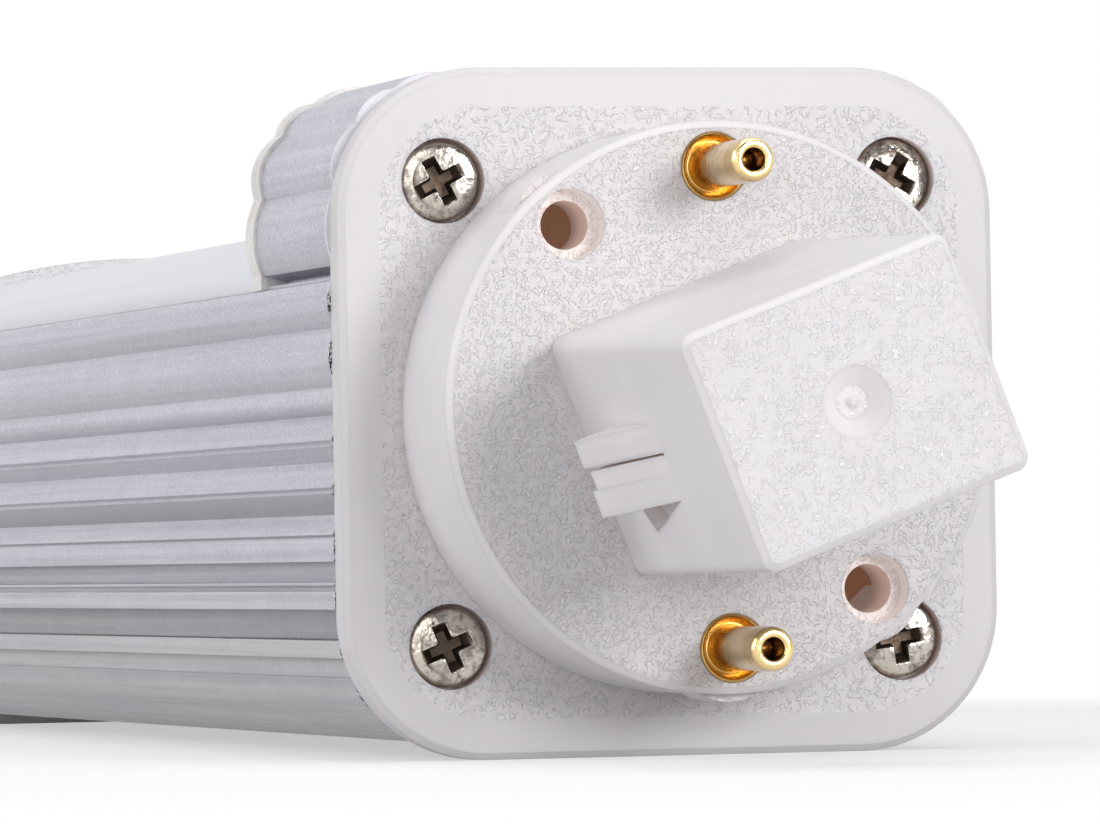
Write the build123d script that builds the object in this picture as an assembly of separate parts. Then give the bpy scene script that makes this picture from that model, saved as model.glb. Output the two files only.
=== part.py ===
from build123d import *
import os
from math import asin, cos, degrees, radians, sin, tan

# A two-pin plug-in lamp with light-emitting diodes, lying on its back as it would rest on a bench.
# Everything is drawn with x to the right, y up and z out of the plug along the lamp's axis.
# Station zero is the seating plane, the face of the boss that meets the lampholder.
# At the end each piece is laid down, so that the plug points along -Y and the light leaves upwards.

# Plug base, one moulding
pin_circle = 24.0
pin_row = 8.0
base_turn = 20.8
boss_radius = 14.3
boss_height = 8.6
boss_wall = 1.6
boss_face = 2.0
boss_edge = 0.35
plate_width = 34.7
plate_height = 35.0
plate_corner = 7.4
plate_thick = 2.1
plate_bevel = 2.0
plate_bevel_drop = 0.3
plate_edge = 0.35
socket_counterbore = 3.5
socket_counterbore_depth = 1.25
socket_bore = 2.45
socket_sleeve = 5.4
socket_depth = 4.3

# Plug post and its snap wedges
post_length = 21.5
post_root_width = 14.5
post_root_height = 12.7
post_tip_width = 14.2
post_tip_height = 12.0
post_tip_shift = (-0.12, -0.22)
post_wall = 1.5
post_front = 2.0
post_edge = 0.7
post_front_edge = 0.35
gate_radius = 1.72
gate_floor_radius = 0.8
gate_depth = 0.9
gate_nub_radius = 0.3
gate_nub_height = 0.25
snap_station = 5.3
snap_length = 6.8
snap_rise = 2.1
snap_web_drop = 0.25
snap_rib = 1.4
snap_gap = 1.2
snap_centre = -0.3
snap_slit = 0.13
snap_slit_drop = 0.25
snap_slit_depth = 1.3
snap_slit_over = 0.5
snap_pocket_reach = 1.6
snap_pocket_depth = 0.9
snap_pocket_over = 0.6
snap_pocket_short = 0.2
snap_pocket_corner = 0.9

# Contact pins
pin_length = 6.7
pin_diameter = 2.2
pin_tip_diameter = 1.6
pin_tip_taper = 0.4
pin_bore = 1.1
pin_collar = 3.4
pin_collar_dish = 0.6
pin_collar_floor = 2.7
pin_tail = 1.0

# Screws
screw_pitch_x = 23.9
screw_pitch_y = 23.5
screw_head = 3.9
screw_head_edge = 0.6
screw_head_dome = 0.63
screw_head_top = 2.7
screw_sink = 0.1
screw_head_gap = 0.22
screw_shank = 2.5
screw_length = 9.0
screw_hole = 3.1
screw_cross_length = 2.6
screw_cross_width = 0.62
screw_cross_depth = 0.8
base_screw_turns = (28.0, 60.0, 23.0, 9.0)
end_screw_turns = (12.0, 51.0)

# Extruded body, whose side depths are measured inwards from the plate's side
body_length = 118.0
body_wall_top = 6.8
side_wall = 4.1
cavity_floor = -14.9
cavity_top = 3.4
cavity_round = 1.0
web_thick = 1.6
rail_inset = 2.1
rail_groove_depth = 0.9
rail_groove_low = 5.6
rail_groove_high = 6.3
port_radius = 2.5
port_bore = 2.6
port_sink = 0.5
side_scallops = ((4.45, 0.3), (1.45, 0.42), (0.05, 0.3))
side_valley_depth = 0.27
tooth_root_depth = 0.55
tooth_proud = 0.1
tooth_split = 0.15
tooth_tips = (-1.35, -3.74)
tooth_roots = (-2.33, -5.0)
last_tooth_tip = -6.13
fin_proud = 0.05
fin_stations = (-6.28, -7.34)
grooved_fin_stations = (-8.4, -9.78)
low_fin_stations = (-11.35, -12.25)
low_fin_depth = 0.2
fin_groove_station = -8.71
fin_groove_width = 0.3
fin_groove_depth = 0.35
shallow_channel_depth = 1.3
deep_channel_depth = 2.4
low_channel_depth = 1.05
low_channel_end = -13.26
low_lobe_depth = 0.88
low_corner_inset = 2.35
low_corner_y = -15.2
bottom_flat_inset = 4.9
bottom_valley_y = -16.38
bottom_scallops = 4
lobe_rise = 0.35

# Cover, divider and diffuser that slide on the rails
cover_length = 14.7
cover_wall = 1.5
cover_valley_y = 17.05
cover_flat_inset = 6.95
cover_scallops = 3
cover_scallop_rise = 0.42
cover_corner_insets = ((3.5, 0.5, 0.55), (1.45, 2.25, 0.45), (0.3, 5.55, 0.6))
cover_side_inset = 0.18
cover_side_rise = 0.45
cover_inner_round = 4.6
cover_low_edge = 7.6
cover_lip_y = 7.3
cover_lip_inset = 1.4
cover_foot_thick = 0.2
divider_thick = 1.7
divider_proud = 0.15
diffuser_rise = 5.1
diffuser_shoulder = 1.2
diffuser_round = 1.6
diffuser_wall = 1.3
diffuser_inset = 0.25
rail_play = 0.1
leg_thick = 0.9
leg_top = 8.3
hook_thick = 0.5
slide_play = 0.05

# Far end cap
cap_thick = 2.0
cap_dome_rise = 5.8
cap_dome_shoulder = 1.6
cap_dome_round = 2.2
cap_edge = 0.4

# Light board
led_board_play = 0.5
led_board_thick = 1.2
led_board_gap = 2.0
led_rows = 2
led_per_row = 12
led_row_pitch = 11.0
led_pitch = 7.7
led_size = (2.8, 3.5, 0.7)
led_lens_drop = 0.12

# Driver, each part's place being its distance from the board's front end and from its right side,
# or from its left side where that is negative
sleeve_play = 0.2
sleeve_wall = 0.5
sleeve_start = 1.5
sleeve_length = 74.0
sleeve_ledge = 1.0
sleeve_ledge_rise = 0.75
driver_play = 0.2
driver_thick = 1.2
driver_start = 3.0
driver_length = 68.0
fuse_size = (1.3, 7.0)
fuse_place = (12.0, -3.7)
varistor_size = (3.4, 2.6)
varistor_place = (10.0, 4.1)
film_capacitor_size = (8.4, 8.2, 5.0)
film_capacitor_place = (18.5, -6.5)
choke_size = (3.8, 8.0)
choke_place = (19.0, 5.3)
rectifier_size = (6.4, 2.5, 4.8)
rectifier_place = (26.5, -5.3)
input_capacitor_size = (4.0, 14.0)
input_capacitor_place = (33.0, 6.7)
control_chip_size = (4.0, 1.5, 5.0)
control_chip_place = (34.0, -5.3)
safety_capacitor_size = (3.0, 2.4)
safety_capacitor_place = (55.2, -3.5)
output_diode_size = (2.0, 8.0)
output_diode_place = (61.5, -3.9)
output_capacitor_size = (4.0, 8.2)
output_capacitor_place = (60.0, 7.3)
core_distance = 47.5
core_width = 13.2
core_height = 8.6
core_length = 6.0
core_limb = 2.6
core_yoke = 1.9
bobbin_foot = 0.6
bobbin_foot_width = 11.0
bobbin_post_width = 3.0
bobbin_post_length = 1.6
winding_build = 1.1
winding_play = 0.05
lead_hole = 6.4
lead_hole_station = 78.0

# Leads held inside: each turn of a mains lead is its place across and its distance from the pin's
# tail or from the driver, and the light board's leads turn at distances from their hole's middle
lead_diameter = 1.3
lead_side_count = 6
mains_lead_stub = 1.9
mains_lead_turn = (2.6, 3.2)
mains_lead_landing = (4.6, 1.2, 0.3)
mains_lead_end = (5.0, 2.2, 4.6)
mains_lead_over = 1.5
led_lead_pitch = 3.6
led_lead_start = 3.0
led_lead_rise = (3.0, 1.0, 0.6)
led_lead_dip = (1.0, 0.5)
led_lead_hump = (1.6, 1.6)
led_lead_end = (1.6, 4.2)

# Derived stations and places
plate_front = -boss_height
plate_back = plate_front - plate_thick
body_half_width = plate_width / 2
rail_inside = body_half_width - rail_inset
cavity_half_width = body_half_width - side_wall
body_end = plate_back - body_length
cover_end = plate_back - cover_length
divider_end = cover_end - divider_thick
half_row_angle = degrees(asin(pin_row / pin_circle))
pin_angle = 90 + base_turn - half_row_angle
spare_angle = 90 + base_turn + half_row_angle
web_top = cavity_top + web_thick
port_x = screw_pitch_x / 2
port_y = screw_pitch_y / 2
ledge_y = -port_y + port_radius
leg_outside = rail_inside - rail_play
leg_inside = leg_outside - leg_thick
screw_seat = screw_sink + screw_head_dome + screw_head_edge
driver_floor = ledge_y + sleeve_wall + sleeve_ledge_rise
driver_top = driver_floor + driver_thick
driver_half_width = cavity_half_width - sleeve_play - sleeve_wall - driver_play
led_board_start = divider_end - led_board_gap
led_board_end = body_end + led_board_gap
led_top = web_top + led_board_thick
core_y = driver_top + bobbin_foot + core_height / 2


def on_circle(angle, radius=pin_circle / 2):
    return radius * cos(radians(angle)), radius * sin(radians(angle))


def prism(section, low, high):
    return Pos(0, 0, low) * extrude(section, high - low)


def tube(radius, low, high, x=0.0, y=0.0):
    return Pos(x, y, (low + high) / 2) * Cylinder(radius, high - low)


def block(width, height, low, high, x=0.0, y=0.0):
    # A rectangular block, with x and y at the middle of its section
    return Pos(x, y, (low + high) / 2) * Box(width, height, high - low)


def rectangle_at(left, right, bottom, top):
    return Pos((left + right) / 2, (bottom + top) / 2) * Rectangle(right - left, top - bottom)


def both_sides(section):
    return section + mirror(section, Plane.YZ)


def scallop(start, end, rise):
    # A shallow arc that bulges to the left of the way from start to end
    dx, dy = end[0] - start[0], end[1] - start[1]
    run = (dx * dx + dy * dy) ** 0.5
    middle = ((start[0] + end[0]) / 2 - dy / run * rise, (start[1] + end[1]) / 2 + dx / run * rise)
    return ThreePointArc(start, middle, end)


def closed_from_half(edges):
    # Mirrors a half outline, whose ends lie on x = 0, into a whole face
    half = [edge for curve in edges for edge in curve.edges()]
    other = [mirror(edge, Plane.YZ) for edge in half]
    return make_face(half + other)


# Plug base

def post_middle(station):
    # The post narrows towards its tip and leans a little off its axis, as its mould leaves it
    share = max(station, 0) / post_length
    return Pos(post_tip_shift[0] * share, post_tip_shift[1] * share, station)


def post_size(station):
    share = max(station, 0) / post_length
    width = post_root_width + (post_tip_width - post_root_width) * share
    return width, post_root_height + (post_tip_height - post_root_height) * share


def post_section(station, inset=0.0):
    width, height = post_size(station)
    return post_middle(station) * RectangleRounded(width - 2 * inset, height - 2 * inset, post_edge - inset)


def post_end(station, side):
    # How far the post's left or right end face stands from the axis, with side -1 or 1
    return post_size(station)[0] / 2 + side * post_tip_shift[0] * station / post_length


def post_outside():
    shoulder = post_length - post_front_edge
    sections = [post_section(0), post_section(shoulder), post_section(post_length, post_front_edge)]
    return loft(sections, ruled=True) + extrude(post_section(-boss_face), boss_face)


def post_inside():
    inner = 2 * post_wall
    root = Pos(0, 0, -boss_face - 0.5) * Rectangle(post_root_width - inner, post_root_height - inner)
    tip = post_middle(post_length - post_front) * Rectangle(post_tip_width - inner, post_tip_height - inner)
    return loft([root, tip], ruled=True)


def snap_set(side):
    # Two latch wedges on one end of the post, with a web and a thin slit between them,
    # drawn on the left end: the right end's set is turned half round after
    face_back = -post_end(snap_station, side)
    face_front = -post_end(snap_station + snap_length, side)
    sink = post_wall / 3

    def wedge(rise, low, high):
        outline = Polyline(
            (face_back + sink, snap_station), (face_back - rise, snap_station),
            (face_front, snap_station + snap_length), (face_front + sink, snap_station + snap_length),
            close=True)
        solid = extrude(make_face(outline), high - low)
        return Pos(0, high, 0) * Rot(90, 0, 0) * solid

    half = snap_gap / 2
    upper = wedge(snap_rise, snap_centre + half, snap_centre + half + snap_rib)
    web = wedge(snap_rise - snap_web_drop, snap_centre - half, snap_centre + half)
    lower = wedge(snap_rise, snap_centre - half - snap_rib, snap_centre - half)
    return upper + web + lower


def snap_cuts(side):
    # The slit under the upper wedge and the three-cornered pocket under the lower one
    half = snap_gap / 2
    face = -post_end(snap_station, side)
    slit_low = snap_centre + half - snap_slit_drop
    deep = snap_slit_depth + snap_rise
    slit = block(deep, snap_slit, snap_station - snap_slit_over, snap_station + snap_length,
                 face + snap_slit_over - deep / 2, slit_low + snap_slit / 2)
    edge = snap_centre - half - snap_rib
    corners = Polyline((snap_station - snap_pocket_over, edge),
                       (snap_station + snap_length - snap_pocket_short, edge),
                       (snap_station + snap_pocket_corner, edge - snap_pocket_reach), close=True)
    pocket = extrude(make_face(corners), snap_pocket_depth + 1)
    pocket = Rot(0, -90, 0) * pocket
    return slit + Pos(face + snap_pocket_depth, 0, 0) * pocket


def gate_mark():
    # The dished gate mark in the middle of the post's front, with its cut-off nub left standing
    dish = Pos(0, 0, -gate_depth / 2) * Cone(gate_floor_radius, gate_radius, gate_depth)
    nub = Cone(gate_nub_radius, gate_nub_radius / 2, gate_nub_height)
    return post_middle(post_length) * (dish - Pos(0, 0, gate_nub_height / 2 - gate_depth) * nub)


def plate():
    # A slab whose smooth band slopes down to its rim, where a small edge leads to the side
    outline = RectangleRounded(plate_width, plate_height, plate_corner)
    shoulder = plate_front - plate_bevel_drop
    rim = shoulder - plate_edge

    def inset_outline(station, inset):
        return Pos(0, 0, station) * RectangleRounded(plate_width - 2 * inset, plate_height - 2 * inset,
                                                     plate_corner - inset)

    slope = loft([inset_outline(rim, 0), inset_outline(shoulder, plate_edge),
                  inset_outline(plate_front, plate_bevel)], ruled=True)
    return prism(outline, plate_back, rim) + slope


def screw_places():
    return [(sx * port_x, sy * port_y) for sy in (1, -1) for sx in (-1, 1)]


def socket_places():
    return [on_circle(angle + half) for angle in (pin_angle, spare_angle) for half in (0, 180)]


def base_cap():
    boss = tube(boss_radius, plate_back, 0)
    boss = chamfer(boss.edges().sort_by(Axis.Z)[-1], boss_edge)
    body = plate() + boss - tube(boss_radius - boss_wall, plate_back - 1, -boss_face)
    for x, y in socket_places():
        body += tube(socket_sleeve / 2, -socket_depth, -boss_face / 2, x, y)
    turned = Rot(0, 0, base_turn)
    half_round = Rot(0, 0, 180)
    body += turned * (post_outside() + snap_set(-1) + half_round * snap_set(1))
    body -= turned * (post_inside() + snap_cuts(-1) + half_round * snap_cuts(1) + gate_mark())
    for x, y in socket_places():
        body -= tube(socket_counterbore / 2, -socket_counterbore_depth, 1, x, y)
        body -= tube(socket_bore / 2, -socket_depth - 1, 1, x, y)
    seat = plate_front - screw_seat
    for x, y in screw_places():
        body -= tube(screw_head / 2 + screw_head_gap, seat, plate_front + 1, x, y)
        body -= tube(screw_hole / 2, plate_back - 1, plate_front, x, y)
    return body


# Contact pins

def contact_pin(angle):
    # A hollow turned pin that flares into the dished collar seated in the stepped hole
    outer, bore, tip = pin_diameter / 2, pin_bore / 2, pin_tip_diameter / 2
    collar, floor = pin_collar / 2, pin_collar_floor / 2
    low = -socket_depth - pin_tail
    seat = -socket_counterbore_depth
    outline = Polyline(
        (bore, low), (outer, low), (outer, seat), (collar, seat), (collar, 0), (floor, -pin_collar_dish),
        (outer, 0), (outer, pin_length - pin_tip_taper), (tip, pin_length), (bore, pin_length),
        close=True)
    x, y = on_circle(angle)
    return Pos(x, y, 0) * revolve(Plane.XZ * make_face(outline), Axis.Z)


# Screws

def screw(turn):
    # Pan head on station zero, cross recess cut into its crown, shank going down
    top = screw_head_edge + screw_head_dome
    outline = Polyline((0, -screw_length), (screw_shank / 2, -screw_length), (screw_shank / 2, 0),
                       (screw_head / 2, 0), (screw_head / 2, screw_head_edge), (screw_head_top / 2, top),
                       (0, top), close=True)
    body = revolve(Plane.XZ * make_face(outline), Axis.Z)
    slot = block(screw_cross_length, screw_cross_width, top - screw_cross_depth, top + 1)
    return Rot(0, 0, turn) * (body - slot - Rot(0, 0, 90) * slot)


def base_screws():
    seat = plate_front - screw_seat
    return [Pos(x, y, seat) * screw(turn)
            for (x, y), turn in zip(screw_places(), base_screw_turns)]


def end_screws():
    seat = body_end - cap_thick + screw_seat
    lower = screw_places()[2:]
    return [Pos(x, y, seat) * Rot(180, 0, 0) * screw(turn)
            for (x, y), turn in zip(lower, end_screw_turns)]


# Extruded body

def body_side(depth):
    return body_half_width - depth


def tooth_points():
    # Two split teeth and the first half of a third, below the side scallops
    tip_x, root_x = body_side(-tooth_proud), body_side(tooth_root_depth)
    points = [(root_x, side_scallops[-1][0])]
    for tip, root in zip(tooth_tips, tooth_roots):
        points += [(tip_x, tip + tooth_split), (tip_x - tooth_split, tip), (tip_x, tip - tooth_split),
                   (root_x, root)]
    return points + [(tip_x, last_tooth_tip + tooth_split), (tip_x - tooth_split, last_tooth_tip)]


def fin_points():
    # A plain fin, a grooved fin and a low fin, with the channels under them
    tip, low_tip = body_side(-fin_proud), body_side(low_fin_depth)
    groove = body_side(fin_groove_depth)
    shallow, deep = body_side(shallow_channel_depth), body_side(deep_channel_depth)
    low = body_side(low_channel_depth)
    groove_top = fin_groove_station + fin_groove_width / 2
    groove_low = fin_groove_station - fin_groove_width / 2
    return [(tip, fin_stations[0]), (tip, fin_stations[1]),
            (shallow, fin_stations[1]), (shallow, grooved_fin_stations[0]),
            (tip, grooved_fin_stations[0]), (tip, groove_top), (groove, groove_top), (groove, groove_low),
            (tip, groove_low), (tip, grooved_fin_stations[1]),
            (deep, grooved_fin_stations[1]), (deep, low_fin_stations[0]),
            (low_tip, low_fin_stations[0]), (low_tip, low_fin_stations[1]),
            (low, low_fin_stations[1]), (low, low_channel_end),
            (body_side(low_lobe_depth), low_channel_end)]


def body_outline():
    # Right half of the extrusion, from the middle of the web's top round to the middle of the bottom
    groove_x = rail_inside + rail_groove_depth
    start = (body_half_width, body_wall_top)
    run = [Polyline((0, web_top), (rail_inside, web_top), (rail_inside, rail_groove_low),
                    (groove_x, rail_groove_low), (groove_x, rail_groove_high),
                    (rail_inside, rail_groove_high), (rail_inside, body_wall_top), start)]
    for i, (station, rise) in enumerate(side_scallops):
        last = i == len(side_scallops) - 1
        end = (body_side(tooth_root_depth if last else side_valley_depth), station)
        run.append(scallop(start, end, rise))
        start = end
    profile = tooth_points() + fin_points()
    run.append(Polyline(*profile))
    corner = (body_side(low_corner_inset), low_corner_y)
    flat_end = body_side(bottom_flat_inset)
    run += [scallop(profile[-1], corner, lobe_rise), scallop(corner, (flat_end, bottom_valley_y), lobe_rise)]
    step = flat_end / bottom_scallops
    stations = [flat_end - i * step for i in range(bottom_scallops)] + [0]
    for a, b in zip(stations, stations[1:]):
        run.append(scallop((a, bottom_valley_y), (b, bottom_valley_y), lobe_rise))
    return run


def port_section(wall_x, side):
    # A screw port that grows out of the wall beside it, with a flat ledge on its inner side
    middle = side * port_y
    ring = Pos(port_x, middle) * Circle(port_radius)
    return ring + rectangle_at(port_x, wall_x, middle - port_radius, middle + port_radius)


def heat_sink():
    section = closed_from_half(body_outline())
    cavity = rectangle_at(-cavity_half_width, cavity_half_width, cavity_floor, cavity_top)
    section -= fillet(cavity.vertices(), cavity_round)
    section += both_sides(port_section(cavity_half_width + port_sink, -1))
    section -= both_sides(Pos(port_x, -port_y) * Circle(port_bore / 2))
    body = prism(section, body_end, plate_back)
    station = plate_back - lead_hole_station
    hole = Pos(0, web_top, station) * Rot(90, 0, 0) * Cylinder(lead_hole / 2, 4 * web_thick)
    return body - hole


# Cover, divider and diffuser

def rail_leg(top=leg_top):
    # The leg and outward hook by which each sliding piece is held in the body's side grooves
    middle = (rail_groove_low + rail_groove_high) / 2
    leg = rectangle_at(leg_inside, leg_outside, middle - hook_thick / 2, top)
    hook = rectangle_at(leg_outside - 0.2, rail_inside + rail_groove_depth - 2 * rail_play,
                        middle - hook_thick / 2, middle + hook_thick / 2)
    return leg + hook


def cover_outline(proud=0.0):
    # Right half of the scalloped shell outside, from the middle of the top down to its low edge
    top = cover_valley_y + proud
    side = body_half_width + proud
    step = body_side(cover_flat_inset) / cover_scallops
    points = [(i * step, top) for i in range(cover_scallops + 1)]
    points += [(side - dx, top - dy) for dx, dy, rise in cover_corner_insets]
    points.append((side - cover_side_inset, cover_low_edge))
    rises = [cover_scallop_rise] * cover_scallops + [rise for dx, dy, rise in cover_corner_insets]
    rises.append(cover_side_rise)
    return [scallop(a, b, rise) for a, b, rise in zip(points, points[1:], rises)], points[-1]


def driver_cover():
    arcs, low = cover_outline()
    lip_x = body_side(cover_lip_inset)
    rim = low[0] - cover_wall
    bottom = Polyline(low, (lip_x, cover_lip_y), (0, cover_lip_y))
    shell = closed_from_half(arcs + [bottom])
    hollow = rectangle_at(-rim, rim, body_wall_top, cover_valley_y - cover_wall)
    section = shell - fillet(hollow.vertices().sort_by(Axis.Y)[-2:], cover_inner_round)
    foot_y = body_wall_top + slide_play
    foot = rectangle_at(leg_inside, body_side(side_valley_depth + rail_play), foot_y,
                        foot_y + cover_foot_thick)
    lip_tie = rectangle_at(leg_inside, lip_x, foot_y, leg_top)
    section += both_sides(rail_leg() + foot + lip_tie)
    section += both_sides(port_section((rim + low[0]) / 2, 1))
    section -= both_sides(Pos(port_x, port_y) * Circle(port_bore / 2))
    return prism(section, cover_end, plate_back)


def divider():
    arcs, low = cover_outline(divider_proud)
    foot = body_wall_top + slide_play
    bottom = Polyline(low, (low[0], foot), (0, foot))
    plate_face = closed_from_half(arcs + [bottom])
    tongue = rectangle_at(-leg_inside, leg_inside, web_top + slide_play, foot + 0.5)
    section = plate_face + both_sides(rail_leg()) + tongue
    return prism(section, divider_end, cover_end)


def arch(half_width, rise, shoulder, corner, base):
    # A low arch on two short upright sides, with rounded shoulders
    left, right = (-half_width, base + shoulder), (half_width, base + shoulder)
    top = ThreePointArc(left, (0, base + rise), right)
    sides = Polyline(right, (half_width, base), (-half_width, base), left)
    face = make_face(top.edges() + sides.edges())
    return fillet(face.vertices().sort_by(Axis.Y)[-2:], corner)


def diffuser():
    base = body_wall_top + slide_play
    half = body_side(diffuser_inset)
    outer = arch(half, diffuser_rise, diffuser_shoulder, diffuser_round, base)
    inner = arch(half - diffuser_wall, diffuser_rise - diffuser_wall, diffuser_shoulder,
                 diffuser_round - diffuser_wall, base)
    rib = rectangle_at(leg_inside, leg_outside, base, base + diffuser_rise) & outer
    section = outer - inner + both_sides(rail_leg(base) + rib)
    return prism(section, body_end, divider_end)


def end_cap():
    half_height = plate_height / 2
    lower = RectangleRounded(plate_width, plate_height, plate_corner)
    lower -= rectangle_at(-plate_width, plate_width, body_wall_top, 2 * half_height)
    section = lower + arch(plate_width / 2, cap_dome_rise, cap_dome_shoulder, cap_dome_round, body_wall_top)
    low = body_end - cap_thick
    cap = prism(section, low, body_end)
    cap = chamfer(cap.faces().sort_by(Axis.Z)[0].edges(), cap_edge)
    for x, y in screw_places()[2:]:
        cap -= tube(screw_head / 2 + screw_head_gap, low - 1, low + screw_seat, x, y)
        cap -= tube(screw_hole / 2, low, body_end + 1, x, y)
    return cap


# Light board

def led_board():
    board = block(2 * (leg_inside - led_board_play), led_board_thick, led_board_end, led_board_start, 0,
                  web_top + led_board_thick / 2)
    hole = Pos(0, led_top, plate_back - lead_hole_station) * Rot(90, 0, 0) * Cylinder(lead_hole / 2, 3)
    return board - hole


def led_chip(x, station):
    width, length, height = led_size
    body = block(width, height, station - length / 2, station + length / 2, x, led_top + height / 2)
    window = block(width - 0.7, led_lens_drop * 2, station - length / 2 + 0.35, station + length / 2 - 0.35,
                   x, led_top + height)
    return body - window


def led_places():
    middle = (led_board_start + led_board_end) / 2
    for row in range(led_rows):
        x = (row - (led_rows - 1) / 2) * led_row_pitch
        for i in range(led_per_row):
            yield x, middle + ((led_per_row - 1) / 2 - i) * led_pitch


# Driver, from the plug end back

def driver_station(distance):
    return plate_back - driver_start - distance


def across_driver(inset):
    if inset > 0:
        return driver_half_width - inset
    return -driver_half_width - inset


def insulating_sleeve():
    half = cavity_half_width - sleeve_play
    outer = rectangle_at(-half, half, ledge_y, cavity_top - sleeve_play)
    outer = fillet(outer.vertices().sort_by(Axis.Y)[-2:], cavity_round)
    inner = rectangle_at(-half + sleeve_wall, half - sleeve_wall, ledge_y + sleeve_wall,
                         cavity_top - sleeve_play - sleeve_wall)
    inner = fillet(inner.vertices().sort_by(Axis.Y)[-2:], cavity_round - sleeve_wall)
    ledge = rectangle_at(half - sleeve_wall - sleeve_ledge, half - sleeve_wall, ledge_y + sleeve_wall,
                         driver_floor)
    start = plate_back - sleeve_start
    return prism(outer - inner + both_sides(ledge), start - sleeve_length, start)


def driver_board():
    return block(2 * driver_half_width, driver_thick, driver_station(driver_length), driver_station(0), 0,
                 driver_floor + driver_thick / 2)


def can(radius, length, edge):
    # A round part on station zero, with a small edge at its top
    outline = Polyline((0, 0), (radius, 0), (radius, length - edge), (radius - edge, length), (0, length),
                       close=True)
    return revolve(Plane.XZ * make_face(outline), Axis.Z)


def upright_can(size, place, edge=0.4):
    # A round part standing on the board, from its radius and height
    distance, inset = place
    return Pos(across_driver(inset), driver_top, driver_station(distance)) * Rot(-90, 0, 0) * can(*size, edge)


def lying_can(size, place, edge=0.4):
    # A round part lying along the board, from its radius and length
    radius, length = size
    distance, inset = place
    front = driver_station(distance) - length / 2
    return Pos(across_driver(inset), driver_top + radius, front) * can(radius, length, edge)


def boxed_part(size, place, edge=0.3):
    # A moulded box on the board, from its width, height and length
    width, height, length = size
    distance, inset = place
    station = driver_station(distance)
    part = block(width, height, station - length / 2, station + length / 2, across_driver(inset),
                 driver_top + height / 2)
    return chamfer(part.faces().sort_by(Axis.Y)[-1].edges(), edge)


def disc_part(size, place):
    # A dipped disc standing across the board on its edge, from its radius and thickness
    radius, thickness = size
    distance, inset = place
    disc = Cylinder(radius, thickness)
    return Pos(across_driver(inset), driver_top + radius, driver_station(distance)) * disc


def transformer_core():
    # Ferrite frame with a middle limb, lying with its windows facing along the board
    station = driver_station(core_distance)
    frame = block(core_width, core_height, station - core_length / 2, station + core_length / 2, 0, core_y)
    window_width = (core_width - 3 * core_limb) / 2
    window = block(window_width, core_height - 2 * core_yoke, station - core_length, station + core_length,
                   (core_limb + window_width) / 2, core_y)
    return frame - window - mirror(window, Plane.YZ)


def transformer_bobbin():
    # Winding round the middle limb, on a bobbin whose two end posts stand on the board
    station = driver_station(core_distance)
    half = core_length / 2 + winding_play
    reach = half + bobbin_post_length
    low, high = station - reach - bobbin_post_length, station + reach + bobbin_post_length
    height = core_height - 2 * (core_yoke + winding_play)
    winding = block(core_limb + 2 * winding_build, height, station - reach, station + reach, 0, core_y)
    bore = block(core_limb + 2 * winding_play, core_height, station - half, station + half, 0, core_y)
    foot = block(bobbin_foot_width, bobbin_foot, low, high, 0, driver_top + bobbin_foot / 2)
    posts = block(bobbin_post_width, core_y - driver_top, low, high, 0, (core_y + driver_top) / 2)
    posts -= block(core_width, core_height + bobbin_foot, station - reach, station + reach, 0, core_y)
    return winding - bore + foot + posts


# Leads held inside

def lead(points, radius=lead_diameter / 2):
    # A lead whose corners turn on arcs as large as their two runs allow
    vectors = [Vector(*p) for p in points]
    radii = []
    for a, b, c in zip(vectors, vectors[1:], vectors[2:]):
        turn = radians((b - a).get_angle(c - b))
        radii.append(0.45 * min((b - a).length, (c - b).length) / tan(turn / 2))
    path = FilletPolyline(*points, radius=radii)
    start = Plane(path @ 0, z_dir=path % 0)
    return sweep(start * RegularPolygon(radius, lead_side_count), path)


def mains_lead(angle, side):
    x, y = on_circle(angle)
    tail = -socket_depth - pin_tail
    rest_y = driver_top + lead_diameter / 2
    over = plate_back - sleeve_start - mains_lead_over
    turn_x, turn_back = mains_lead_turn
    land_x, land_ahead, land_rise = mains_lead_landing
    end_x, end_turn, end_back = mains_lead_end
    return lead([(x, y, tail), (x, y, tail - mains_lead_stub),
                 (side * turn_x, (y + rest_y) / 2, tail - turn_back),
                 (side * land_x, rest_y + land_rise, over + land_ahead),
                 (side * end_x, rest_y, over - end_turn), (side * end_x, rest_y, over - end_back)])


def led_lead(side):
    x = side * led_lead_pitch / 2
    rest_y = driver_top + lead_diameter / 2
    rise = plate_back - lead_hole_station
    pad_y = led_top + lead_diameter / 2
    foot, knee, throat = led_lead_rise
    low_dip, high_dip = led_lead_dip
    hump_rise, hump_back = led_lead_hump
    edge = rise - lead_hole / 2
    return lead([(x, rest_y, driver_station(driver_length - led_lead_start)), (x, rest_y, rise + foot),
                 (x, (rest_y + web_top) / 2 - low_dip, rise + knee), (x, web_top - high_dip, rise + throat),
                 (x, pad_y + hump_rise, rise - hump_back), (x, pad_y, edge - led_lead_end[0]),
                 (x, pad_y, edge - led_lead_end[1])])


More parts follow.
